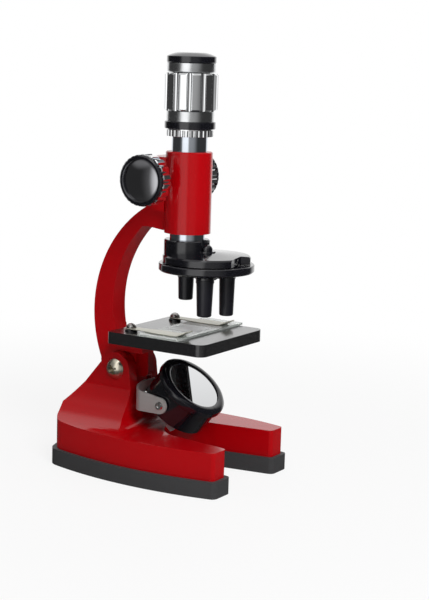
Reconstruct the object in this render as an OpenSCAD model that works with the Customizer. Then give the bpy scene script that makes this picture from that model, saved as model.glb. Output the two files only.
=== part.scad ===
// Toy compound microscope on a horseshoe base: inclining arm, rack focus, zoom eyepiece,
// three-objective turret, stage with two spring clips and a tilting mirror with a lamp.
// Millimetres, +X forward (open end of the base), +Y to the far side, +Z up.

/* [Base] */
// Length of the base over its rubber rim
base_l = 122; // [100:1:150]
// Half width of the base over its rubber rim at the widest place
base_hw = 45.5; // [38:0.5:55]
// Radius of the bowed long sides of the base
side_r = 216; // [150:1:400]
// Height of the rubber rim
rim_h = 9.3; // [5:0.1:14]
// How far the rim stands proud of the painted casting
rim_step = 2.3; // [1:0.1:4]
// Height of the flat top of the two legs
leg_top = 24.9; // [18:0.1:32]
// Half width over the two cheeks that hold the arm
cheek_hw = 14; // [11:0.5:18]
// Half width of the slot between the cheeks
slot_hw = 6.8; // [6.4:0.1:8]

/* [Inclination bolt] */
// Distance of the bolt from the middle of the base, negative to the rear
pivot_x = -24.5; // [-30:0.5:-18]
// Height of the bolt
pivot_z = 56; // [50:0.5:62]

/* [Arm and housing] */
// Half thickness of the curved arm
arm_hw = 6; // [4.5:0.1:6.4]
// Distance of the optical axis ahead of the middle of the base
axis_x = 13.5; // [8:0.5:20]
// Outside radius of the cylindrical tube housing
housing_r = 13.1; // [11.5:0.1:16]
// Underside of the tube housing
housing_z0 = 137.4; // [130:0.1:145]
// Top of the tube housing
housing_z1 = 182.9; // [170:0.1:190]

/* [Tube and focus] */
// Outside radius of the sliding body tube
tube_r = 10; // [9:0.1:11]
// Height of the pinion shaft
pinion_z = 167.3; // [160:0.1:172]
// Module of the rack and pinion
gear_m = 0.5; // [0.4:0.05:0.8]
// Outside radius of a focus knob
knob_r = 14.4; // [11:0.1:18]
// Distance from the middle to the outer face of a focus knob
knob_y = 29.9; // [26:0.1:34]

/* [Turret] */
// Radius of the turret disc
turret_r = 26.9; // [22:0.1:30]
// Radius of the circle that the objectives stand on
obj_circle = 13.4; // [11:0.1:16]
// Height of the lip's underside
lip_z = 117.9; // [117.4:0.1:120]

/* [Stage] */
// Height of the top face of the stage
stage_top = 81.7; // [76:0.1:88]
// Thickness of the stage plate
stage_t = 6.8; // [5:0.1:9]
// Half width of the stage plate
stage_hw = 32.5; // [28:0.5:38]
// Rear edge of the stage plate
stage_x0 = -17; // [-22:0.5:-10]
// Front edge of the stage plate
stage_x1 = 46.5; // [40:0.5:54]

/* [Mirror and lamp] */
// Distance of the drum's tilting rivets from the middle of the base
drum_x = 12.2; // [10:0.1:14]
// Height of the drum's tilting rivets
drum_z = 41.4; // [39:0.1:44]
// Lean of the mirror from the horizontal
drum_tilt = 39.8; // [20:0.1:60]
// Outside radius of the drum
drum_r = 20; // [19:0.1:20.5]
// Radius of the visible mirror
mirror_r = 16.1; // [12:0.1:18]

/* [Eyepiece] */
// Outside radius of the fluted zoom barrel
barrel_r = 15; // [13:0.1:17]
// Lower edge of the fluted zoom barrel
barrel_z0 = 205.3; // [205.2:0.1:212]
// Upper edge of the fluted zoom barrel
barrel_z1 = 226; // [220:0.1:232]

/* [Hidden] */
$fn = 96;
base_x1 = base_l / 2;
base_x0 = -base_l / 2;
side_cx = 8;
rear_cx = 29;
rear_r = rear_cx - base_x0;
u_cx = 24.5;
u_r = 17.2;
u_slope = atan((22.8 - u_r) / (base_x1 - u_cx));
turret_x = axis_x + obj_circle;
pitch_r = gear_m * 12 / 2;
pinion_x = axis_x - tube_r + 0.6 - pitch_r;
rack_x = pinion_x + pitch_r;
drum_off = 0.8;
fork_hw = 22.4;
fork_r = 30;
fork_cx = 17.6;
fork_rc = 5;
screw_x = -12.8;
screw_y = 5.9;
seat_z = stage_top - stage_t;
clip_x = -8;
clip_y = 22;
slide_t = 1.2;
slide_gap = 0.02;
slide_x0 = 3.5;
slide_x1 = 30;
posts = [[-46, 18], [-46, -18], [46, 31.5], [46, -31.5]];

// ---------- base ----------
function arc(cx, cy, r, a0, a1, n) = [for (k = [0:n]) let (a = a0 + (a1 - a0) * k / n)
  [cx + r * cos(a), cy + r * sin(a)]];

// far half of the base's plan, from the rear round the bowed side and toe into the U
function half_plan(i) =
  let (
    r1 = max(0.6, 3.4 - 0.38 * i),
    r2 = 11,
    sr = side_r - i,
    sy = -(side_r - base_hw),
    rr = rear_r - i,
    c1x = base_x1 - i - r1,
    c1y = sy + sqrt((sr - r1) * (sr - r1) - (c1x - side_cx) * (c1x - side_cx)),
    a1 = atan2(c1y - sy, c1x - side_cx),
    a = rear_cx - side_cx,
    b = -sy,
    d = sqrt(a * a + b * b),
    p = sr - r2,
    q = rr - r2,
    m = (p * p - q * q + d * d) / (2 * d),
    h = sqrt(p * p - m * m),
    c2x = side_cx + (a * m - b * h) / d,
    c2y = sy + (b * m + a * h) / d,
    a2 = atan2(c2y - sy, c2x - side_cx),
    a3 = atan2(c2y, c2x - rear_cx),
    yi = u_r + i + (c1x - u_cx) * tan(u_slope) + r1 / cos(u_slope)
  )
  concat(
    arc(rear_cx, 0, rr, 180, a3, 8),
    [for (k = [1:8]) [c2x + r2 * cos(a3 + (a2 - a3) * k / 8), c2y + r2 * sin(a3 + (a2 - a3) * k / 8)]],
    [for (k = [1:24]) [side_cx + sr * cos(a2 + (a1 - a2) * k / 24), sy + sr * sin(a2 + (a1 - a2) * k / 24)]],
    [for (k = [1:8]) [c1x + r1 * cos(a1 * (1 - k / 8)), c1y + r1 * sin(a1 * (1 - k / 8))]],
    arc(c1x, yi, r1, 0, -90 + u_slope, 8),
    arc(u_cx, 0, u_r + i, 90, 180, 20));

// plan of the base, drawn in by i all round
module outline(i = 0) {
  h = half_plan(i);
  n = len(h);
  polygon(concat(h, [for (k = [n - 2:-1:1]) [h[k][0], -h[k][1]]]));
}

// side view of the painted casting: legs, cheeks and the long rear slope
module base_side() {
  tx = pivot_x - 9.8 * cos(40);
  tz = pivot_z + 9.8 * sin(40);
  fx = pivot_x + 12.3;
  difference() {
    union() {
      translate([pivot_x, pivot_z]) circle(r = 9.8);
      polygon([[tx, tz], [tx - 40, tz - 40 * tan(50)], [tx - 40, 0], [base_x1 + 5, 0],
        [base_x1 + 5, leg_top], [fx + 12, leg_top], [fx, leg_top + 12], [pivot_x + 9.8, pivot_z],
        [pivot_x, pivot_z]]);
    }
    translate([fx + 12, leg_top + 12]) circle(r = 12);
  }
}

// front view of what is cut away beside the cheeks: upright, then a sweep out to the sides
module side_sweep() {
  polygon(concat([for (k = [0:24]) [45 + 33.25 * cos(201.2 + k * 2.58), 58 + 33.25 * sin(201.2 + k * 2.58)]],
    [[62, 22.4], [62, 90], [cheek_hw, 90]]));
}

module post_at() {
  for (p = posts) translate([p[0], p[1], 0]) children();
}

module base_casting() {
  color([0.72, 0.03, 0.05]) difference() {
    intersection() {
      translate([0, 0, 2.6]) linear_extrude(80) outline(rim_step);
      rotate([90, 0, 0]) linear_extrude(height = 120, center = true) base_side();
    }
    for (s = [0, 1]) mirror([0, s, 0]) rotate([90, 0, 90])
      linear_extrude(height = 160, center = true) side_sweep();
    translate([0, 0, -1]) linear_extrude(leg_top - 2) difference() {
      outline(rim_step + 2.6);
      for (p = posts) translate(p) circle(r = 4, $fn = 48);
    }
    translate([0, 0, -1]) linear_extrude(5.01) outline(rim_step + 2.6);
    post_at() translate([0, 0, -1]) cylinder(r = 1.4, h = 15, $fn = 32);
    translate([pivot_x - 10.4, -slot_hw, 30.6]) cube([60, 2 * slot_hw, 60]);
    translate([-80, -slot_hw, 41]) cube([80, 2 * slot_hw, 40]);
    translate([pivot_x, 0, pivot_z]) rotate([90, 0, 0]) cylinder(r = 2.55, h = 60, center = true);
    translate([pivot_x, 10.4, pivot_z]) rotate([-90, 0, 0]) cylinder(r = 4.7, h = 9, $fn = 6);
  }
}

module base_rim() {
  color([0.2, 0.2, 0.21]) difference() {
    linear_extrude(rim_h) outline(0);
    translate([0, 0, 2.6]) linear_extrude(20) outline(rim_step);
    translate([0, 0, -1]) linear_extrude(20) outline(7.2);
  }
}

module base_plate() {
  color([0.12, 0.12, 0.13]) difference() {
    translate([0, 0, 2.6]) linear_extrude(1.4) outline(rim_step + 2.8);
    post_at() cylinder(r = 1.7, h = 10, $fn = 32);
    post_at() translate([0, 0, 2.59]) cylinder(r1 = 3, r2 = 1.7, h = 0.9, $fn = 32);
  }
}

module base_screw() {
  color([0.7, 0.7, 0.7]) post_at() difference() {
    union() {
      translate([0, 0, 2.61]) cylinder(r1 = 2.95, r2 = 1.4, h = 0.9, $fn = 32);
      translate([0, 0, 3.4]) cylinder(r = 1.4, h = 9, $fn = 32);
    }
    translate([-2, -0.35, 2]) cube([4, 0.7, 1.2]);
    translate([-0.35, -2, 2]) cube([0.7, 4, 1.2]);
  }
}

// ---------- inclination bolt ----------
module pivot_bolt() {
  color([0.75, 0.72, 0.62]) translate([pivot_x, 0, pivot_z]) rotate([90, 0, 0]) difference() {
    union() {
      translate([0, 0, -14.4]) cylinder(r = 2.5, h = 28.5);
      intersection() {
        translate([0, 0, cheek_hw + 0.02]) cylinder(r = 6, h = 4);
        translate([0, 0, cheek_hw - 4.2]) sphere(r = 7.6);
      }
    }
    for (a = [45, 135]) translate([0, 0, cheek_hw + 2.6]) rotate([0, 0, a - 20])
      cube([5.6, 1.1, 3.4], center = true);
    translate([0, 0, cheek_hw + 0.6]) cylinder(r1 = 0.4, r2 = 1.6, h = 3);
  }
}

module pivot_nut() {
  color([0.75, 0.75, 0.76]) translate([pivot_x, 10.4, pivot_z]) rotate([-90, 0, 0]) difference() {
    cylinder(r = 4.6, h = 3.5, $fn = 6);
    translate([0, 0, -1]) cylinder(r = 2.5, h = 6);
  }
}

module pivot_washer() {
  color([0.5, 0.5, 0.52]) for (s = [1, -1]) translate([pivot_x, s * 6.43, pivot_z])
    rotate([90, 0, 0]) difference() {
      cylinder(r = 7, h = 0.7, center = true);
      cylinder(r = 2.5, h = 3, center = true);
    }
}

// ---------- arm ----------
// side view of the curved arm, its neck and the tail between the cheeks
module arm_side() {
  difference() {
    intersection() {
      translate([26.9, 88]) circle(r = 73, $fn = 200);
      translate([-70, 57]) square([73, 110]);
    }
    intersection() {
      translate([33.2, 92]) circle(r = 66, $fn = 200);
      translate([-60, 40]) square([60 - 12.8, 120]);
    }
    polygon([[-12.81, 40], [-12.81, 139.1], [-9, 139.4], [0.4, 138.2], [6, 138], [6, 40]]);
  }
  polygon([[-40.55, 59], [-40.4, 57.5], [-38.4, 53], [-35.4, 47.5], [-33.8, 42.5], [-33, 37],
    [-31.4, 33.4], [-27.5, 32], [-15.5, 32], [-15.5, seat_z], [-30.6, seat_z], [-31.4, 80],
    [-36, 80]]);
}

module arm_casting() {
  color([0.72, 0.03, 0.05]) difference() {
    union() {
      rotate([90, 0, 0]) linear_extrude(height = 2 * arm_hw, center = true) arm_side();
      translate([-31, -9, 66]) cube([21.6, 18, seat_z - 66]);
      rotate([90, 0, 0]) linear_extrude(height = 5.4, center = true) union() {
        polygon([[-16, 51.4], [-12.4, 51.4], [-12.4, 54.4], [-9.4, 54.4], [-9.4, 67], [-16, 67]]);
        translate([-12.4, 54.4]) circle(r = 3, $fn = 48);
      }
      translate([axis_x, 0, housing_z0]) cylinder(r = housing_r, h = housing_z1 - housing_z0 - 0.6);
      translate([axis_x, 0, housing_z1 - 0.6]) cylinder(r1 = housing_r, r2 = housing_r - 0.6, h = 0.6);
      translate([-7.5, -10, 155]) cube([14, 20, 24.5]);
      rotate([90, 0, 0]) linear_extrude(height = 20, center = true)
        polygon([[-7.5, 155.5], [-2, 149], [4, 149], [4, 155.5]]);
      for (s = [1, -1]) translate([pinion_x, s * 10, pinion_z]) rotate([-s * 90, 0, 0])
        cylinder(r = 5.4, h = 3.5);
    }
    translate([axis_x, 0, 100]) cylinder(r = tube_r + 0.06, h = 120);
    translate([pinion_x, 0, pinion_z]) rotate([90, 0, 0]) cylinder(r = 2.6, h = 40, center = true);
    translate([pinion_x, 0, pinion_z]) rotate([90, 0, 0]) cylinder(r = 4, h = 5, center = true);
    translate([pinion_x, -2.5, pinion_z - 4]) cube([8, 5, 8]);
    translate([pivot_x, 0, pivot_z]) rotate([90, 0, 0]) cylinder(r = 2.55, h = 60, center = true);
    translate([-26, 0, drum_z]) rotate([0, 90, 0]) cylinder(r = 1.5, h = 20, $fn = 48);
    for (s = [1, -1]) translate([screw_x, s * screw_y, 60]) cylinder(r = 1.6, h = 30, $fn = 48);
    for (s = [1, -1]) translate([screw_x, s * screw_y, 60]) cylinder(r = 2.6, h = 8.4, $fn = 48);
    for (s = [1, -1]) translate([-9, 0, pinion_z + s * 8]) rotate([0, 90, 0])
      cylinder(r = 1.4, h = 6.2, $fn = 48);
    // channel that the rack slides along inside the housing
    translate([axis_x - tube_r - 0.5, -2.3, 100]) cube([4, 4.6, 120]);
  }
}

// plate that closes the back of the pinion block
module pinion_cover() {
  color([0.72, 0.03, 0.05]) translate([-8.9, 0, pinion_z]) rotate([0, 90, 0]) difference() {
    union() {
      translate([-11, -6.5, 0]) cube([22, 13, 1.38]);
      for (s = [1, -1]) translate([0, s * 6.5, 0]) cylinder(r = 3, h = 1.38, $fn = 48);
    }
    for (s = [1, -1]) translate([s * 8, 0, -1]) cylinder(r = 1.4, h = 5, $fn = 48);
  }
}

module cover_screw() {
  color([0.75, 0.75, 0.76]) for (s = [1, -1]) translate([-8.9, 0, pinion_z + s * 8]) rotate([0, 90, 0])
    difference() {
      union() {
        translate([0, 0, -1.4]) cylinder(r1 = 1.7, r2 = 2.5, h = 0.8, $fn = 48);
        translate([0, 0, -0.6]) cylinder(r = 2.5, h = 0.58, $fn = 48);
        translate([0, 0, -0.1]) cylinder(r = 1.4, h = 5.5, $fn = 48);
      }
      translate([-0.3, -1.6, -2]) cube([0.6, 3.2, 1.3]);
      translate([-1.6, -0.3, -2]) cube([3.2, 0.6, 1.3]);
    }
}

module pinion_bush() {
  color([0.75, 0.6, 0.3]) for (s = [1, -1]) translate([pinion_x, s * 8.3, pinion_z])
    rotate([90, 0, 0]) difference() {
      cylinder(r = 2.6, h = 10.4, center = true);
      cylinder(r = 1.55, h = 20, center = true, $fn = 64);
    }
}

// ---------- stage ----------
module stage_plan(i = 0) {
  rf = 5 - i / 2;
  rb = 1.6;
  x0 = stage_x0 + i;
  x1 = stage_x1 - i;
  w = stage_hw - i;
  union() {
    translate([x0 + rb, -w]) square([x1 - x0 - rf - rb, 2 * w]);
    translate([x0, -w + rb]) square([20, 2 * w - 2 * rb]);
    translate([x1 - 20, -w + rf]) square([20, 2 * w - 2 * rf]);
    for (s = [1, -1]) translate([x1 - rf, s * (w - rf)]) circle(r = rf);
    for (s = [1, -1]) translate([x0 + rb, s * (w - rb)]) circle(r = rb, $fn = 48);
  }
}

module stage_plate() {
  color([0.13, 0.13, 0.14]) difference() {
    translate([0, 0, seat_z]) linear_extrude(stage_t) stage_plan();
    // ribbed hollow underside
    difference() {
      translate([0, 0, seat_z - 1]) linear_extrude(stage_t - 1.6) stage_plan(2.4);
      translate([-20, -12.5, 70]) cube([24, 25, 20]);
      translate([axis_x, 0, 70]) cylinder(r = 12, h = 20);
      for (s = [1, -1]) translate([clip_x, s * clip_y, 70]) cylinder(r = 4, h = 20);
      translate([-20, -1, 70]) cube([70, 2, 20]);
      for (s = [1, -1]) translate([4, s * 12.5 - 1, 70]) cube([50, 2, 20]);
    }
    translate([axis_x, 0, 70]) cylinder(r = 8, h = 20);
    translate([axis_x, 0, seat_z - 1]) cylinder(r = 10, h = 3.4);
    for (s = [1, -1]) translate([clip_x, s * clip_y, 70]) cylinder(r = 1.5, h = 20, $fn = 48);
    for (s = [1, -1]) translate([screw_x, s * screw_y, 70]) cylinder(r = 1.5, h = 9.4, $fn = 48);
  }
}

module stage_screw() {
  color([0.7, 0.7, 0.72]) for (s = [1, -1]) translate([screw_x, s * screw_y, 0]) difference() {
    union() {
      translate([0, 0, 66.4]) cylinder(r1 = 1.9, r2 = 2.4, h = 0.6, $fn = 48);
      translate([0, 0, 67]) cylinder(r = 2.4, h = 1.38, $fn = 48);
      translate([0, 0, 68.3]) cylinder(r = 1.5, h = 10.6, $fn = 48);
    }
    translate([-1.6, -0.3, 65]) cube([3.2, 0.6, 2.4]);
    translate([-0.3, -1.6, 65]) cube([0.6, 3.2, 2.4]);
  }
}

module clip_post() {
  color([0.08, 0.08, 0.08]) for (s = [1, -1]) translate([clip_x, s * clip_y, stage_top]) difference() {
    union() {
      cylinder(r = 3.6, h = 0.8, $fn = 64);
      translate([0, 0, 0.8]) cylinder(r1 = 3.6, r2 = 3, h = 0.5, $fn = 64);
    }
    translate([0, 0, -1]) cylinder(r = 1.5, h = 4, $fn = 48);
  }
}

module clip_screw() {
  color([0.8, 0.8, 0.8]) for (s = [1, -1]) translate([clip_x, s * clip_y, stage_top]) difference() {
    union() {
      translate([0, 0, -5.5]) cylinder(r = 1.5, h = 8, $fn = 48);
      translate([0, 0, 2]) cylinder(r = 2.9, h = 0.7, $fn = 64);
      intersection() {
        translate([0, 0, 2.6]) cylinder(r = 2.9, h = 3, $fn = 64);
        translate([0, 0, 1.1]) sphere(r = 3.27, $fn = 64);
      }
    }
    translate([0, 0, 4.3]) rotate([0, 0, 30 * s]) cube([8, 0.8, 1.5], center = true);
  }
}

// spring strip: flat leaf over the slide with an upturned tip
module clip_leaf() {
  intersection() {
    rotate([90, 0, 0]) linear_extrude(height = 14, center = true) polygon([
      [-4, 1.36], [33, 1.36], [34, 1.55], [38.6, 3.9], [38.3, 4.35], [33.8, 2.02], [33, 1.86],
      [-4, 1.86]]);
    translate([0, 0, -1]) linear_extrude(8) union() {
      difference() {
        union() {
          circle(r = 3.3, $fn = 64);
          polygon([[0, -3.3], [8, -3.3], [20, -5], [36, -5], [38.7, -4], [38.7, 4], [36, 5], [20, 5],
            [8, 3.3], [0, 3.3]]);
        }
        circle(r = 1.58, $fn = 48);
      }
    }
  }
}

module clip_near() {
  color([0.86, 0.84, 0.72]) translate([clip_x, -clip_y, stage_top]) clip_leaf();
}

module clip_far() {
  color([0.86, 0.84, 0.72]) translate([clip_x, clip_y, stage_top]) clip_leaf();
}

module slide_glass() {
  color([0.8, 0.9, 0.85, 0.5]) translate([slide_x0, -stage_hw + 0.1, stage_top + slide_gap])
    cube([slide_x1 - slide_x0, 68.5, slide_t - slide_gap]);
}

module slide_cover() {
  color([0.9, 0.95, 0.95, 0.5]) translate([axis_x - 6, -9, stage_top + slide_t]) cube([18, 18, 0.13]);
}

module slide_label() {
  color([0.95, 0.95, 0.93]) translate([slide_x0 + 1, 11, stage_top + slide_t])
    cube([slide_x1 - slide_x0 - 2, 5.4, 0.12]);
}

// ---------- mirror fork ----------
// half of the strip's plan: bowed back, bend, then the straight side arm
function fork_half(t) =
  let (
    ky = fork_hw - fork_rc,
    kx = fork_cx - sqrt((fork_r - fork_rc) * (fork_r - fork_rc) - ky * ky),
    a = atan2(ky, kx - fork_cx)
  )
  concat(
    arc(fork_cx, 0, fork_r - t, 180, a, 14),
    [for (k = [1:8]) let (b = a + (90 - a) * k / 8) [kx + (fork_rc - t) * cos(b), ky + (fork_rc - t) * sin(b)]],
    [[30, fork_hw - t]]);

module fork_plan(t) {
  h = fork_half(t);
  n = len(h);
  polygon(concat(h, [for (k = [n - 1:-1:1]) [h[k][0], -h[k][1]]]));
}

module mirror_fork() {
  color([0.7, 0.7, 0.7]) difference() {
    intersection() {
      translate([0, 0, 20]) linear_extrude(40) difference() {
        fork_plan(0);
        fork_plan(1.2);
      }
      rotate([90, 0, 0]) linear_extrude(height = 60, center = true) union() {
        polygon([[-20, drum_z - 4.9], [drum_x, drum_z - 4.7], [drum_x, drum_z + 4.7],
          [drum_x - 8, drum_z + 5.8], [-3, drum_z + 7], [-20, drum_z + 8.6]]);
        translate([drum_x, drum_z]) circle(r = 4.7);
      }
    }
    translate([drum_x, 0, drum_z]) rotate([90, 0, 0]) cylinder(r = 1.5, h = 60, center = true, $fn = 48);
    translate([-20, 0, drum_z]) rotate([0, 90, 0]) cylinder(r = 2.05, h = 15, $fn = 48);
  }
}

module fork_spacer() {
  color([0.75, 0.75, 0.75]) translate([-15.5, 0, drum_z]) rotate([0, 90, 0]) difference() {
    cylinder(r = 3.6, h = 3.05, $fn = 64);
    translate([0, 0, -1]) cylinder(r = 1.5, h = 5, $fn = 48);
  }
}

module fork_screw() {
  color([0.75, 0.75, 0.75]) translate([0, 0, drum_z]) rotate([0, 90, 0]) difference() {
    union() {
      translate([0, 0, -25]) cylinder(r = 1.5, h = 12.6, $fn = 48);
      translate([0, 0, -12.45]) cylinder(r = 2, h = 1.6, $fn = 48);
      translate([0, 0, -10.95]) cylinder(r1 = 3.2, r2 = 2.4, h = 1.5, $fn = 64);
    }
    translate([0, 0, -9.45]) cube([5, 0.9, 1.6], center = true);
  }
}

module fork_rivet() {
  color([0.72, 0.72, 0.72]) for (s = [1, -1]) translate([drum_x, s * fork_hw, drum_z])
    rotate([-s * 90, 0, 0]) difference() {
      union() {
        translate([0, 0, -3.4]) cylinder(r = 1.5, h = 3.6, $fn = 48);
        translate([0, 0, 0.01]) cylinder(r1 = 2.5, r2 = 1.9, h = 0.9, $fn = 64);
      }
      translate([0, 0, 0.4]) cylinder(r = 1, h = 2, $fn = 48);
    }
}

// ---------- drum with mirror and lamp ----------
module in_drum() {
  translate([drum_x, 0, drum_z]) rotate([0, drum_tilt, 0]) children();
}

module drum_body() {
  color([0.05, 0.05, 0.05]) in_drum() difference() {
    union() {
      translate([drum_off, 0, 0]) rotate_extrude() difference() {
        polygon([[0, -10.6], [7.7, -10.6], [8.2, -10.1], [8.2, -6.9], [drum_r - 0.8, -6.9],
          [drum_r, -6.1], [drum_r, 8.6], [0, 8.6]]);
        polygon([[0, -12], [6.9, -12], [6.9, -9.4], [6.2, -9.4], [6.2, -5.3], [drum_r - 1.6, -5.3],
          [drum_r - 1.6, 10], [0, 10]]);
      }
      for (s = [1, -1]) rotate([-s * 90, 0, 0]) translate([0, 0, 18]) cylinder(r = 4, h = 3.1, $fn = 64);
    }
    rotate([90, 0, 0]) cylinder(r = 1.56, h = 60, center = true, $fn = 48);
    translate([drum_off + 7.7, -13.1, -8]) cube([4.7, 2, 4]);
  }
}

module drum_bezel() {
  color([0.05, 0.05, 0.05]) in_drum() translate([drum_off, 0, 0]) rotate_extrude($fn = 128)
    polygon([[mirror_r, 12.45], [mirror_r, 12.7], [mirror_r + 0.8, 13.1], [18.9, 13.1], [20.2, 12.7],
      [21.1, 11.8], [21.4, 10.6], [21.4, 9], [21, 8.6], [drum_r - 1.62, 8.6], [drum_r - 1.62, 6.6],
      [17.2, 6.6], [17.2, 10.6], [16.65, 10.6], [16.65, 12.45]]);
}

module mirror_glass() {
  color([0.85, 0.87, 0.9]) in_drum() translate([drum_off, 0, 10.8]) cylinder(r = 16.6, h = 1.6, $fn = 128);
}

module battery() {
  color([0.15, 0.2, 0.5]) in_drum() translate([drum_off, 0, 4.6]) rotate([90, 0, 0]) union() {
    cylinder(r = 5.9, h = 29, center = true);
    cylinder(r = 2, h = 30.2, center = true, $fn = 48);
  }
}

module battery_holder() {
  color([0.1, 0.1, 0.1]) in_drum() translate([drum_off, 0, 0]) difference() {
    translate([-7.6, -12.2, -5.3]) cube([15.2, 24.4, 8.8]);
    translate([0, 0, 4.6]) rotate([90, 0, 0]) cylinder(r = 5.95, h = 60, center = true);
    translate([0, 0, -7]) cylinder(r = 3.55, h = 10, $fn = 64);
  }
}

module battery_contact() {
  color([0.8, 0.75, 0.5]) in_drum() translate([drum_off, 0, 4.6]) for (s = [1, -1]) union() {
    translate([-3.5, s * 15.35 - 0.2, -5]) cube([7, 0.4, 9]);
    translate([-3.5, s * 16.35 - 1.2, -5.4]) cube([7, 2.4, 0.4]);
  }
}

module lamp_bulb() {
  color([0.9, 0.88, 0.75]) in_drum() translate([drum_off, 0, -2.6]) rotate_extrude($fn = 64)
    polygon([[0, -6.2], [1, -6], [1.9, -5.4], [2.4, -4.5], [2.4, -3.3], [2.1, -2.5], [3.5, -2.4],
      [3.5, 1.05], [0, 1.05]]);
}

module lamp_lens() {
  color([0.9, 0.92, 0.95, 0.6]) in_drum() translate([drum_off, 0, -2.6]) intersection() {
    translate([0, 0, -9.6]) cylinder(r = 6.85, h = 2.8, $fn = 96);
    translate([0, 0, 7]) sphere(r = 16.5, $fn = 96);
  }
}

module lamp_switch() {
  color([0.45, 0.46, 0.47]) in_drum() translate([drum_off, 0, 0]) union() {
    translate([7.6, -14.4, -10.6]) cube([3.8, 3.8, 3.6]);
    translate([7.9, -12.9, -7.2]) cube([1.8, 1.6, 2.2]);
    translate([7.8, -13.2, -5.2]) cube([2.4, 2.2, 0.8]);
  }
}

// ---------- body tube, rack and nosepiece ----------
module body_tube() {
  color([0.6, 0.62, 0.66]) translate([axis_x, 0, 0]) difference() {
    translate([0, 0, 124.6]) cylinder(r = tube_r, h = 77);
    translate([0, 0, 120]) cylinder(r = tube_r - 1.4, h = 90);
    translate([-tube_r - 2, -2, 140]) cube([5, 4, 42]);
  }
}

module rack() {
  n = 26;
  pt = PI * gear_m;
  z0 = 140.2;
  color([0.75, 0.65, 0.4]) translate([0, 0, 0]) difference() {
    translate([rack_x - 0.5, -1.95, z0]) cube([2.1, 3.9, 41.5]);
    rotate([90, 0, 0]) linear_extrude(height = 6, center = true)
      for (k = [-17:8]) polygon([
        [rack_x - 0.6, pinion_z + k * pt - 0.78], [rack_x - 0.6, pinion_z + k * pt + 0.78],
        [rack_x + 0.62, pinion_z + k * pt + 0.3], [rack_x + 0.62, pinion_z + k * pt - 0.3]]);
  }
}

module nosepiece() {
  color([0.06, 0.06, 0.07]) difference() {
    union() {
      translate([axis_x, 0, 121.9]) cylinder(r = 13, h = 11.3);
      translate([axis_x, 0, 133.2]) cylinder(r1 = 13, r2 = 12.4, h = 0.6);
      difference() {
        translate([turret_x, 0, 0]) union() {
          translate([0, 0, 121.9]) cylinder(r = 24.7, h = 3.4, $fn = 128);
          translate([0, 0, 125.3]) cylinder(r1 = 24.7, r2 = 23.9, h = 0.8, $fn = 128);
          translate([0, 0, 126.1]) cylinder(r1 = 23.9, r2 = 6, h = 1.5, $fn = 128);
        }
        translate([0, 0, 110]) linear_extrude(40)
          polygon([[49.5, -10.6], [45.9, 5.5], [50.6, 9.6], [56, 9], [58, -13]]);
      }
      translate([turret_x, 0, 126]) cylinder(r = 5, h = 2.2, $fn = 64);
    }
    translate([axis_x, 0, 124.6]) cylinder(r = tube_r, h = 20);
    translate([axis_x, 0, 110]) cylinder(r = 7.5, h = 20);
    translate([turret_x, 0, 110]) cylinder(r = 2.5, h = 20, $fn = 48);
    translate([turret_x, 0, 128.2]) cylinder(r = 4.2, h = 20, $fn = 64);
    translate([turret_x + 19, 0, 119]) cylinder(r = 1.55, h = 6.4, $fn = 48);
  }
}

// shouldered screw with a domed head in a recess of the collar; the turret turns on it
module turret_pin() {
  color([0.08, 0.08, 0.09]) translate([turret_x, 0, 0]) union() {
    translate([0, 0, 113.6]) cylinder(r1 = 3.2, r2 = 4, h = 1.2, $fn = 64);
    translate([0, 0, 114.7]) cylinder(r = 2.5, h = 14, $fn = 48);
    translate([0, 0, 128.25]) cylinder(r = 3.2, h = 1.2, $fn = 64);
    intersection() {
      translate([0, 0, 129.4]) cylinder(r = 3.2, h = 4, $fn = 64);
      translate([0, 0, 128.5]) sphere(r = 3.36, $fn = 64);
    }
  }
}

module click_ball() {
  color([0.8, 0.8, 0.82]) translate([turret_x + 19, 0, 122.9]) sphere(r = 1.4, $fn = 48);
}

module click_spring() {
  color([0.7, 0.7, 0.72]) translate([turret_x + 19, 0, 0]) union() {
    for (k = [0:1]) translate([0, 0, 124.45 + k * 0.62]) rotate_extrude($fn = 48)
      translate([1.05, 0]) circle(r = 0.33, $fn = 16);
  }
}

// ---------- turret ----------
module obj_at(k) {
  translate([turret_x, 0, 0]) rotate([0, 0, 180 + 120 * k]) translate([obj_circle, 0, 0]) children();
}

module turret_disc() {
  color([0.06, 0.06, 0.07]) difference() {
    union() {
      translate([turret_x, 0, 0]) rotate_extrude($fn = 160)
        polygon([[0, 121.5], [26.4, 121.5], [turret_r, 121], [turret_r, lip_z], [26.2, lip_z - 0.8],
          [20.6, 116.1], [19.4, 115.5], [0, 115.5]]);
      translate([turret_x, 0, 112.9]) cylinder(r = 6.4, h = 4, $fn = 64);
      translate([turret_x, 0, 112.3]) cylinder(r1 = 5.9, r2 = 6.4, h = 0.6, $fn = 64);
      for (k = [0:2]) obj_at(k) translate([0, 0, 114]) cylinder(r = 5.1, h = 3, $fn = 64);
    }
    translate([turret_x, 0, 110]) cylinder(r = 2.56, h = 20, $fn = 48);
    translate([turret_x, 0, 100]) cylinder(r = 4.4, h = 15.2, $fn = 64);
    for (k = [0:2]) obj_at(k) translate([0, 0, 110]) cylinder(r = 3.9, h = 20, $fn = 64);
    translate([turret_x, 0, 121.95]) rotate_extrude($fn = 128) translate([19, 0]) circle(r = 1.6, $fn = 32);
  }
}

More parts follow.
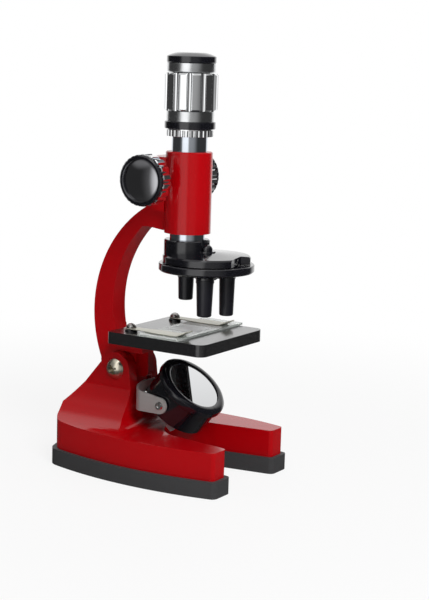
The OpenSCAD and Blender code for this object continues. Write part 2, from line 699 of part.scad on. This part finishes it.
module objective(z0, r0, r1) {
  difference() {
    union() {
      translate([0, 0, z0]) cylinder(r1 = r0 - 0.5, r2 = r0, h = 0.6, $fn = 64);
      translate([0, 0, z0 + 0.6]) cylinder(r1 = r0, r2 = r1, h = 112.4 - z0 - 0.6, $fn = 64);
      translate([0, 0, 112.3]) cylinder(r = r1 + 0.3, h = 1.68, $fn = 64);
      translate([0, 0, 113.9]) cylinder(r = 3.9, h = 6.6, $fn = 64);
    }
    translate([0, 0, z0 + 3]) cylinder(r = 3.3, h = 60, $fn = 48);
    translate([0, 0, z0 + 0.5]) cylinder(r = 2.6, h = 10, $fn = 48);
    translate([0, 0, z0 - 1]) cylinder(r1 = 3, r2 = 1.6, h = 2, $fn = 48);
  }
}

module objective_short() {
  color([0.07, 0.07, 0.08]) obj_at(0) objective(99.5, 4.1, 4.5);
}

module objective_medium() {
  color([0.07, 0.07, 0.08]) obj_at(1) objective(93.5, 4.1, 4.8);
}

module objective_long() {
  color([0.07, 0.07, 0.08]) obj_at(2) objective(91.1, 4, 4.5);
}

module front_lens() {
  color([0.75, 0.85, 0.95, 0.6]) for (p = [[0, 99.5], [1, 93.5], [2, 91.1]]) obj_at(p[0])
    translate([0, 0, p[1] + 1.02]) intersection() {
      cylinder(r = 2.6, h = 1.4, $fn = 48);
      translate([0, 0, 4]) sphere(r = 4.05, $fn = 48);
    }
}

// ---------- pinion and knobs ----------
module pinion_shaft() {
  color([0.75, 0.7, 0.6]) translate([pinion_x, 0, pinion_z]) rotate([90, 0, 0]) union() {
    cylinder(r = 1.5, h = 48.6, center = true, $fn = 48);
    cylinder(r = 2.42, h = 3.7, center = true, $fn = 48);
    linear_extrude(height = 3.7, center = true) for (k = [0:11]) rotate(k * 30)
      polygon([[2.2, -0.5], [3.0, -0.32], [3.46, -0.14], [3.46, 0.14], [3.0, 0.32], [2.2, 0.5]]);
  }
}

module knob_shape() {
  difference() {
    union() {
      cylinder(r = 5, h = 4, $fn = 64);
      translate([0, 0, 3]) cylinder(r1 = 12.6, r2 = 13.6, h = 1, $fn = 96);
      translate([0, 0, 4]) cylinder(r = knob_r, h = 6.4, $fn = 96);
      translate([0, 0, 10.4]) cylinder(r1 = knob_r, r2 = knob_r - 0.5, h = 0.5, $fn = 96);
    }
    for (k = [0:17]) rotate([0, 0, k * 20]) translate([knob_r + 0.9, 0, 2]) cylinder(r = 1.7, h = 12, $fn = 32);
    translate([0, 0, -1]) cylinder(r = 1.5, h = 9, $fn = 48);
  }
}

module knob_near() {
  color([0.8, 0.8, 0.82]) translate([pinion_x, -16.4, pinion_z]) rotate([90, 0, 0]) knob_shape();
}

module knob_far() {
  color([0.8, 0.8, 0.82]) translate([pinion_x, 16.4, pinion_z]) rotate([-90, 0, 0]) knob_shape();
}

module on_knobs() {
  for (s = [1, -1]) translate([pinion_x, s * 27.3, pinion_z]) rotate([-s * 90, 0, 0]) children();
}

module knob_ring() {
  color([0.05, 0.05, 0.05]) on_knobs() difference() {
    union() {
      cylinder(r = 14.1, h = 1.6, $fn = 96);
      translate([0, 0, 1.6]) cylinder(r1 = 14.1, r2 = 13.2, h = 0.8, $fn = 96);
    }
    translate([0, 0, -1]) cylinder(r = 12, h = 5, $fn = 96);
    for (k = [0:29]) rotate([0, 0, k * 12]) translate([14.5, 0, -1]) cylinder(r = 0.75, h = 5, $fn = 24);
  }
}

module knob_cap() {
  color([0.25, 0.25, 0.27]) on_knobs() union() {
    cylinder(r = 12, h = 1, $fn = 96);
    intersection() {
      translate([0, 0, 0.9]) cylinder(r = 12, h = 4, $fn = 96);
      translate([0, 0, 2.6 - 44]) sphere(r = 44, $fn = 160);
    }
  }
}

// ---------- eyepiece ----------
module serrated_ring() {
  color([0.8, 0.8, 0.82]) translate([axis_x, 0, 191.3]) difference() {
    cylinder(r = 12.9, h = 4.1);
    translate([0, 0, -1]) cylinder(r = tube_r, h = 6);
    for (k = [0:29]) rotate([0, 0, k * 12]) translate([13.3, 0, -0.6]) cylinder(r = 1, h = 4.1, $fn = 24);
  }
}

module black_ring() {
  color([0.06, 0.06, 0.06]) translate([axis_x, 0, 195.4]) difference() {
    union() {
      cylinder(r1 = 13.9, r2 = 14.2, h = 0.3);
      translate([0, 0, 0.3]) cylinder(r = 14.2, h = 3.5);
      translate([0, 0, 3.8]) cylinder(r1 = 14.2, r2 = 13.9, h = 0.3);
    }
    translate([0, 0, -1]) cylinder(r = tube_r, h = 6);
  }
}

module lower_ring() {
  color([0.75, 0.76, 0.78]) translate([axis_x, 0, 199.5]) difference() {
    cylinder(r = 13.25, h = 5.6);
    translate([0, 0, -1]) cylinder(r = tube_r, h = 9);
    translate([0, 0, 2.1]) cylinder(r = 11.5, h = 9);
  }
}

module zoom_core() {
  color([0.1, 0.1, 0.1]) translate([axis_x, 0, 201.6]) difference() {
    cylinder(r = 11.5, h = 21.4);
    translate([0, 0, -1]) cylinder(r = 8.6, h = 9);
    translate([0, 0, 2]) cylinder(r = 10.2, h = 30);
  }
}

module zoom_barrel() {
  n = 12;
  color([0.85, 0.86, 0.88]) translate([axis_x, 0, 0]) difference() {
    union() {
      translate([0, 0, barrel_z0]) cylinder(r1 = 14.1, r2 = barrel_r, h = 1, $fn = 120);
      translate([0, 0, barrel_z0 + 1]) cylinder(r = barrel_r, h = barrel_z1 - barrel_z0 - 2, $fn = 120);
      translate([0, 0, barrel_z1 - 1]) cylinder(r1 = barrel_r, r2 = 14.1, h = 1, $fn = 120);
    }
    translate([0, 0, 200]) cylinder(r = 11.57, h = 40);
    for (k = [0:n - 1]) rotate([0, 0, k * 360 / n]) translate([barrel_r + 0.55, 0, 200])
      cylinder(r = 1.75, h = 40, $fn = 32);
  }
}

module draw_tube() {
  color([0.1, 0.1, 0.1]) translate([axis_x, 0, 206.5]) difference() {
    union() {
      cylinder(r = 10.14, h = 19.8);
      translate([0, 0, 19.8]) cylinder(r = 11.9, h = 5.1);
    }
    translate([0, 0, -1]) cylinder(r = 8.9, h = 40);
  }
}

module eye_ring() {
  color([0.78, 0.79, 0.8]) translate([axis_x, 0, 226.35]) difference() {
    union() {
      cylinder(r1 = 13, r2 = 13.5, h = 0.5);
      translate([0, 0, 0.5]) cylinder(r = 13.5, h = 4.55);
    }
    translate([0, 0, -1]) cylinder(r = 11.9, h = 9);
  }
}

module eye_cap() {
  color([0.05, 0.05, 0.05]) translate([axis_x, 0, 0]) rotate_extrude($fn = 128)
    polygon([[6.6, 236.6], [7, 237], [7.6, 237.1], [8.6, 236.95], [9.8, 236.65], [11.2, 236.2],
      [12.4, 235.7], [13.3, 235.3], [13.7, 235], [13.7, 231.9], [13.3, 231.42], [7.2, 231.42],
      [7.2, 233], [6.6, 233]]);
}

module eye_lens() {
  color([0.75, 0.85, 0.95, 0.6]) translate([axis_x, 0, 0]) intersection() {
    translate([0, 0, 233]) cylinder(r = 6.55, h = 4, $fn = 96);
    translate([0, 0, 222.6]) sphere(r = 13.6, $fn = 128);
  }
}

module field_lens() {
  color([0.75, 0.85, 0.95, 0.6]) translate([axis_x, 0, 0]) intersection() {
    translate([0, 0, 207.5]) cylinder(r = 8.88, h = 3.2, $fn = 96);
    translate([0, 0, 195]) sphere(r = 15.6, $fn = 128);
  }
}

base_casting();
base_rim();
base_plate();
base_screw();
pivot_bolt();
pivot_nut();
pivot_washer();
arm_casting();
pinion_bush();
stage_plate();
stage_screw();
clip_post();
clip_screw();
clip_near();
clip_far();
slide_glass();
slide_cover();
slide_label();
fork_spacer();
fork_screw();
mirror_fork();
fork_rivet();
drum_body();
drum_bezel();
mirror_glass();
battery();
battery_holder();
battery_contact();
lamp_bulb();
lamp_lens();
lamp_switch();
body_tube();
rack();
nosepiece();
turret_pin();
click_ball();
click_spring();
turret_disc();
objective_short();
objective_medium();
objective_long();
front_lens();
pinion_shaft();
pinion_cover();
cover_screw();
knob_near();
knob_far();
knob_ring();
knob_cap();
serrated_ring();
black_ring();
lower_ring();
zoom_core();
zoom_barrel();
draw_tube();
eye_ring();
eye_cap();
eye_lens();
field_lens();
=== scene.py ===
import bpy
import math
from mathutils import Matrix, Vector

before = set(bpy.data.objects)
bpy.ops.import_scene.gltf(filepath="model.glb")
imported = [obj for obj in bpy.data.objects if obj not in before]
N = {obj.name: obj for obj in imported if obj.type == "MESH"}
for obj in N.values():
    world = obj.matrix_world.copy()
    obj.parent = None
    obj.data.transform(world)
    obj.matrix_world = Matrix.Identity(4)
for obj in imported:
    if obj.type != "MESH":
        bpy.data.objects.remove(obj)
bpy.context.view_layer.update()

# ---------------------------------------------------------------- driving values, in metres and degrees
SMOOTH_BELOW = 28  # edges flatter than this are shaded smooth
BEVEL_ABOVE = 35  # edges sharper than this are rounded
WELD = 2e-6

CAMERA_AT = (0.4674, -0.6937, 0.2399)
CAMERA_TURN = 32.063
CAMERA_DIP = 9.62
CAMERA_ROLL = 1.696
CAMERA_LENS = 89.17
LIGHTS_AIM = (0, 0, 0.12)

FLOOR_SIZE = 12
FLOOR_Z = -0.0001
FLOOR_WHITE = (0.15, 0.5)  # distances between which the floor brightens to the white of the sweep
FLOOR_WHITE_AT_FOOT = 0.84
FLOOR_OPEN = (0.16, 0.45)  # distances between which the floor stops showing in reflections
FLOOR_REFLECTED = 0.12

# what the shiny pieces reflect: brightness of each soft box, and of the dark studio round them
BRIGHT = {"soft": 1.0, "back": 1.0, "wide": 0.32, "sky": 0.25, "over": 0.6}
DARK_STUDIO = 0.045
AMBIENT = 0.15


# ---------------------------------------------------------------- shading of the CAD nodes
def smooth_group():
    """Welds the exported triangles and shades smooth across the flatter edges."""
    group = bpy.data.node_groups.new("smooth_cad", "GeometryNodeTree")
    for way in ("INPUT", "OUTPUT"):
        group.interface.new_socket("Geometry", in_out=way, socket_type="NodeSocketGeometry")
    new, link = group.nodes.new, group.links.new
    start = new("NodeGroupInput")
    end = new("NodeGroupOutput")
    drop = new("GeometryNodeRemoveAttribute")
    drop.inputs["Name"].default_value = "custom_normal"
    weld = new("GeometryNodeMergeByDistance")
    weld.inputs["Distance"].default_value = WELD
    face = new("GeometryNodeSetShadeSmooth")
    face.domain = "FACE"
    face.inputs["Shade Smooth"].default_value = True
    edge = new("GeometryNodeSetShadeSmooth")
    edge.domain = "EDGE"
    angle = new("GeometryNodeInputMeshEdgeAngle")
    flatter = new("FunctionNodeCompare")
    flatter.data_type = "FLOAT"
    flatter.operation = "LESS_THAN"
    flatter.inputs[1].default_value = math.radians(SMOOTH_BELOW)
    link(start.outputs[0], drop.inputs[0])
    link(drop.outputs[0], weld.inputs[0])
    link(weld.outputs[0], face.inputs[0])
    link(face.outputs[0], edge.inputs[0])
    link(angle.outputs[0], flatter.inputs[0])
    link(flatter.outputs[0], edge.inputs["Shade Smooth"])
    link(edge.outputs[0], end.inputs[0])
    return group


SMOOTH = smooth_group()


def add_smooth(ob, name):
    ob.modifiers.new(name, "NODES").node_group = SMOOTH


def soften(name, width):
    """Smooth shading, and where a width is given rounded edges with weighted normals."""
    ob = N[name]
    add_smooth(ob, "smooth")
    if not width:
        return
    bevel = ob.modifiers.new("bevel", "BEVEL")
    bevel.limit_method = "ANGLE"
    bevel.angle_limit = math.radians(BEVEL_ABOVE)
    bevel.width = width
    bevel.segments = 2 if name == "base_casting" else 3
    bevel.harden_normals = False
    bevel.use_clamp_overlap = True
    add_smooth(ob, "smooth2")
    normals = ob.modifiers.new("weighted", "WEIGHTED_NORMAL")
    normals.mode = "FACE_AREA"
    normals.weight = 100
    normals.keep_sharp = True


# ---------------------------------------------------------------- materials
def noise(tree, vector, scale, detail):
    node = tree.nodes.new("ShaderNodeTexNoise")
    node.inputs["Scale"].default_value = scale
    node.inputs["Detail"].default_value = detail
    tree.links.new(vector, node.inputs["Vector"])
    return node.outputs[0]


def mat(name, color, metal=0.0, rough=0.3, vary=0.05, coat=0.0, coat_rough=0.03, bump=0.0, scale=60.0,
        trans=0.0, ior=1.5, tint=0.08, streak=None, spec=0.5):
    """A surface whose roughness wanders by vary and whose colour wanders by tint."""
    m = bpy.data.materials.new(name)
    m.use_nodes = True
    tree = m.node_tree
    new, link = tree.nodes.new, tree.links.new
    shader = tree.nodes["Principled BSDF"]
    coords = new("ShaderNodeTexCoord")
    mapping = new("ShaderNodeMapping")
    link(coords.outputs["Object"], mapping.inputs[0])
    if streak:
        mapping.inputs["Scale"].default_value = streak
    place = mapping.outputs[0]
    span = new("ShaderNodeMapRange")
    span.inputs["To Min"].default_value = max(0.0, rough - vary)
    span.inputs["To Max"].default_value = rough + vary
    link(noise(tree, place, scale, 5), span.inputs["Value"])
    link(span.outputs[0], shader.inputs["Roughness"])
    rgb = new("ShaderNodeMix")
    rgb.data_type = "RGBA"
    rgb.inputs[6].default_value = (*[c * (1 - tint) for c in color], 1)
    rgb.inputs[7].default_value = (*[min(1, c * (1 + tint)) for c in color], 1)
    link(noise(tree, place, scale * 0.35, 3), rgb.inputs[0])
    link(rgb.outputs[2], shader.inputs["Base Color"])
    fixed = {"Metallic": metal, "Coat Weight": coat, "Coat Roughness": coat_rough,
             "Transmission Weight": trans, "IOR": ior, "Specular IOR Level": spec}
    for socket, value in fixed.items():
        shader.inputs[socket].default_value = value
    if bump:
        grain = new("ShaderNodeBump")
        grain.inputs["Strength"].default_value = 1.0
        grain.inputs["Distance"].default_value = bump
        link(noise(tree, place, scale * 12, 4), grain.inputs["Height"])
        link(grain.outputs[0], shader.inputs["Normal"])
    return m


RED = mat("red_enamel", (0.47, 0.001, 0.004), rough=0.25, vary=0.04, coat=0.42, scale=25, bump=0.00001,
          spec=0.1)
RUBBER = mat("rim_rubber", (0.05, 0.05, 0.052), rough=0.62, vary=0.08, scale=90, bump=0.00006, spec=0.35)
SATIN = mat("black_satin", (0.009, 0.009, 0.014), rough=0.38, vary=0.07, scale=80, bump=0.00002)
STAGE = mat("stage_black", (0.014, 0.014, 0.015), rough=0.25, scale=70, bump=0.00002, coat=0.6, coat_rough=0.12)
GLOSS = mat("black_gloss", (0.006, 0.006, 0.009), rough=0.14, vary=0.04, coat=0.5, scale=50)
CHROME = mat("chrome", (0.86, 0.87, 0.88), metal=1, rough=0.07, vary=0.03)
SATCH = mat("satin_chrome", (0.72, 0.73, 0.74), metal=1, rough=0.24, vary=0.06, scale=90, streak=(1, 1, 8))
TUBE = mat("tube_chrome", (0.62, 0.66, 0.72), metal=1, rough=0.1, vary=0.03, streak=(1, 1, 6))
CAP = mat("dark_cap", (0.42, 0.42, 0.44), metal=1, rough=0.09, vary=0.03)
NICKEL = mat("nickel", (0.62, 0.58, 0.47), metal=1, rough=0.25, vary=0.08, scale=200)
STEEL = mat("steel", (0.7, 0.7, 0.69), metal=1, rough=0.22, vary=0.08, scale=200)
DARK = mat("dark_nickel", (0.3, 0.29, 0.28), metal=1, rough=0.2, vary=0.06, scale=200)
ALU = mat("satin_aluminium", (0.5, 0.49, 0.48), metal=0.5, rough=0.42, vary=0.06, scale=150,
          streak=(1, 1, 10), bump=0.00001)
BRASS = mat("brass", (0.7, 0.5, 0.22), metal=1, vary=0.08, scale=150)
# clip colour: partly the clips' own cream tone, partly painted shade, kept darker to stand in for the shade
# that falls on the near clip
CREAM_AND_PAINTED_SHADE = mat("clip_cream", (0.62, 0.61, 0.52), metal=0.35, rough=0.35, vary=0.06, scale=120)
GLASS = mat("clear_glass", (0.86, 0.9, 0.87), rough=0.05, vary=0.02, trans=0.62, ior=1.3, tint=0.02, scale=30)
LENS = mat("lens_glass", (0.6, 0.7, 0.85), rough=0.03, vary=0.01, trans=0.85, tint=0.02, coat=1.0)
FROST = mat("frosted_cover", (0.74, 0.75, 0.75), rough=0.35, vary=0.04, scale=80)
LABEL = mat("white_label", (0.82, 0.82, 0.79), rough=0.75, scale=300, bump=0.00002)
MIRROR = mat("mirror", (0.93, 0.94, 0.95), metal=1, rough=0.015, vary=0.01, scale=40, tint=0.01)
WRAP = mat("battery_wrap", (0.04, 0.08, 0.28))
BULB = mat("bulb", (0.95, 0.9, 0.75), rough=0.08, vary=0.03, trans=0.6, ior=1.45)
GREY = mat("grey_plastic", (0.34, 0.34, 0.35), rough=0.35, vary=0.06)
NUT = mat("bolt_steel", (0.6, 0.6, 0.6), metal=1, vary=0.08, scale=200)

LOOK = {
    RED: ["base_casting", "arm_casting", "pinion_cover"],
    RUBBER: ["base_rim"],
    SATIN: ["base_plate", "objective_short", "objective_medium", "objective_long", "battery_holder",
            "zoom_core", "draw_tube"],
    STAGE: ["stage_plate"],
    GLOSS: ["nosepiece", "turret_disc", "turret_pin", "drum_body", "drum_bezel", "black_ring", "eye_cap",
            "knob_ring", "clip_post"],
    CHROME: ["zoom_barrel", "serrated_ring", "knob_near", "knob_far"],
    SATCH: ["lower_ring", "eye_ring"],
    TUBE: ["body_tube"],
    CAP: ["knob_cap"],
    NICKEL: ["pivot_bolt"],
    NUT: ["pivot_nut", "pivot_washer", "base_screw", "cover_screw", "pinion_shaft"],
    DARK: ["clip_screw"],
    STEEL: ["stage_screw", "fork_screw", "fork_rivet", "click_ball", "click_spring", "battery_contact"],
    ALU: ["mirror_fork", "fork_spacer"],
    BRASS: ["rack", "pinion_bush"],
    CREAM_AND_PAINTED_SHADE: ["clip_near", "clip_far"],
    GLASS: ["slide_glass"],
    FROST: ["slide_cover"],
    LENS: ["eye_lens", "field_lens", "front_lens", "lamp_lens"],
    LABEL: ["slide_label"],
    MIRROR: ["mirror_glass"],
    WRAP: ["battery"],
    BULB: ["lamp_bulb"],
    GREY: ["lamp_switch"],
}
for m, names in LOOK.items():
    for name in names:
        N[name].data.materials.clear()
        N[name].data.materials.append(m)

BEVEL = {
    "base_casting": 0.0006, "arm_casting": 0.0011, "base_rim": 0.0005, "stage_plate": 0.0004,
    "mirror_fork": 0.0002, "nosepiece": 0.0003, "turret_disc": 0.0003, "zoom_barrel": 0.0003,
    "knob_near": 0.0003, "knob_far": 0.0003, "serrated_ring": 0.00015, "lower_ring": 0.0002,
    "black_ring": 0.0002, "eye_ring": 0.0002, "drum_body": 0.0003, "drum_bezel": 0.0002,
    "pinion_cover": 0.0003, "lamp_switch": 0.0003, "clip_near": 0.0001, "clip_far": 0.0001,
    "slide_glass": 0.0001, "body_tube": 0.0002,
}
for name in N:
    soften(name, BEVEL.get(name, 0.0))


# ---------------------------------------------------------------- camera
turn, dip, roll = (math.radians(a) for a in (CAMERA_TURN, CAMERA_DIP, CAMERA_ROLL))
ahead = Vector((-math.sin(turn) * math.cos(dip), math.cos(turn) * math.cos(dip), -math.sin(dip)))
level = Vector((math.cos(turn), math.sin(turn), 0))
above = level.cross(ahead)
right = level * math.cos(roll) + above * math.sin(roll)
top = -level * math.sin(roll) + above * math.cos(roll)
cam = bpy.data.objects.new("camera", bpy.data.cameras.new("camera"))
bpy.context.scene.collection.objects.link(cam)
cam.matrix_world = Matrix.Translation(CAMERA_AT) @ Matrix(
    ((right.x, top.x, -ahead.x), (right.y, top.y, -ahead.y), (right.z, top.z, -ahead.z))).to_4x4()
cam.data.lens = CAMERA_LENS
cam.data.sensor_width = 36
cam.data.clip_start = 0.01
bpy.context.scene.camera = cam


# ---------------------------------------------------------------- floor
def ramp(tree, value, lo, hi, least=0.0):
    """Rises softly from least to 1 while the value goes from lo to hi."""
    node = tree.nodes.new("ShaderNodeMapRange")
    node.interpolation_type = "SMOOTHSTEP"
    node.inputs["From Min"].default_value = lo
    node.inputs["From Max"].default_value = hi
    node.inputs["To Min"].default_value = least
    tree.links.new(value, node.inputs["Value"])
    return node.outputs[0]


def combine(tree, op, a, b):
    """A math node on two values, each a socket or a number."""
    node = tree.nodes.new("ShaderNodeMath")
    node.operation = op
    for i, v in enumerate((a, b)):
        if isinstance(v, (int, float)):
            node.inputs[i].default_value = v
        else:
            tree.links.new(v, node.inputs[i])
    return node.outputs[0]


def blend(tree, amount, first, second):
    node = tree.nodes.new("ShaderNodeMixShader")
    for i, v in enumerate((amount, first, second)):
        tree.links.new(v, node.inputs[i])
    return node.outputs[0]


def floor_material():
    """White to the camera, and out of the way of reflections beyond the foot of the object."""
    m = mat("floor", (0.9, 0.9, 0.9), rough=0.6, vary=0.02, tint=0.005, scale=4)
    tree = m.node_tree
    new, link = tree.nodes.new, tree.links.new
    coords = next(x for x in tree.nodes if x.type == "TEX_COORD")
    far = new("ShaderNodeVectorMath")
    far.operation = "LENGTH"
    link(coords.outputs["Object"], far.inputs[0])
    away = far.outputs["Value"]
    ray = new("ShaderNodeLightPath")
    white = combine(tree, "MULTIPLY", ray.outputs["Is Camera Ray"],
                    ramp(tree, away, *FLOOR_WHITE, FLOOR_WHITE_AT_FOOT))
    dim = new("ShaderNodeBsdfDiffuse")
    dim.inputs["Color"].default_value = (*[FLOOR_REFLECTED] * 3, 1)
    clear = new("ShaderNodeBsdfTransparent")
    glow = new("ShaderNodeEmission")
    glow.inputs["Strength"].default_value = 1.0
    reflected = blend(tree, ramp(tree, away, *FLOOR_OPEN), dim.outputs[0], clear.outputs[0])
    plain = blend(tree, ray.outputs["Is Glossy Ray"], tree.nodes["Principled BSDF"].outputs[0], reflected)
    link(blend(tree, white, plain, glow.outputs[0]), tree.nodes["Material Output"].inputs["Surface"])
    return m


bpy.ops.mesh.primitive_plane_add(size=FLOOR_SIZE, location=(0, 0, FLOOR_Z))
floor = bpy.context.object
floor.name = "floor"
floor.data.materials.append(floor_material())


# ---------------------------------------------------------------- world: white sweep, dark studio, soft boxes
world = bpy.data.worlds.new("studio")
bpy.context.scene.world = world
world.use_nodes = True
studio = world.node_tree
direction_in = studio.nodes.new("ShaderNodeTexCoord").outputs["Generated"]


def vector_node(op, first, second=None):
    node = studio.nodes.new("ShaderNodeVectorMath")
    node.operation = op
    studio.links.new(first, node.inputs[0])
    if second:
        node.inputs[1].default_value = second
    return node


def box(direction, outer, inner, flat=True):
    """1 within the inner angle of a direction, 0 outside the outer one. A flat box has no top or bottom."""
    ray = direction_in
    if flat:
        ray = vector_node("NORMALIZE", vector_node("MULTIPLY", ray, (1, 1, 0)).outputs[0]).outputs[0]
    near = vector_node("DOT_PRODUCT", ray, direction).outputs["Value"]
    return ramp(studio, near, math.cos(math.radians(outer)), math.cos(math.radians(inner)))


def around(deg, height=0.0):
    """A direction, in degrees anticlockwise from the line to the camera, rising by a height out of 1."""
    t = turn - math.pi / 2 + math.radians(deg)
    run = math.sqrt(1 - height * height)
    return (math.cos(t) * run, math.sin(t) * run, height)


boxes = {
    "soft": box(around(-26), 26, 13),
    "back": box(around(180), 52, 34),
    "wide": box(around(-5), 62, 8),
    "sky": box(around(-72, 0.6), 30, 21, flat=False),
    "over": box((0, 0, 1), 53.13, 25.842, flat=False),
}
shiny = DARK_STUDIO
for name, amount in boxes.items():
    shiny = combine(studio, "ADD", combine(studio, "MULTIPLY", amount, BRIGHT[name]), shiny)
path = studio.nodes.new("ShaderNodeLightPath")
glossy = path.outputs["Is Glossy Ray"]
plain = combine(studio, "ADD", combine(studio, "MULTIPLY", path.outputs["Is Camera Ray"], 1 - AMBIENT), AMBIENT)
total = combine(studio, "ADD", combine(studio, "MULTIPLY", glossy, shiny),
                combine(studio, "MULTIPLY", combine(studio, "SUBTRACT", 1.0, glossy), plain))
background = studio.nodes["Background"]
studio.links.new(total, background.inputs["Strength"])
background.inputs["Color"].default_value = (1, 1, 1, 1)


# ---------------------------------------------------------------- lights
def area(name, place, size, power):
    """A soft box that lights the object but doesn't show in it."""
    lamp = bpy.data.lights.new(name, "AREA")
    lamp.energy = power
    lamp.shape = "RECTANGLE"
    lamp.size, lamp.size_y = size
    ob = bpy.data.objects.new(name, lamp)
    bpy.context.scene.collection.objects.link(ob)
    ob.location = place
    ob.rotation_euler = (Vector(LIGHTS_AIM) - ob.location).to_track_quat("-Z", "Y").to_euler()
    ob.visible_glossy = False


area("key", (1.15, -0.75, 1.15), (0.7, 0.9), 19)
area("fill", (-0.9, -1.1, 0.6), (0.6, 1.0), 0.8)
area("top", (0.55, 0.0, 1.6), (1.2, 1.2), 8)
bpy.context.scene.view_settings.view_transform = "Standard"
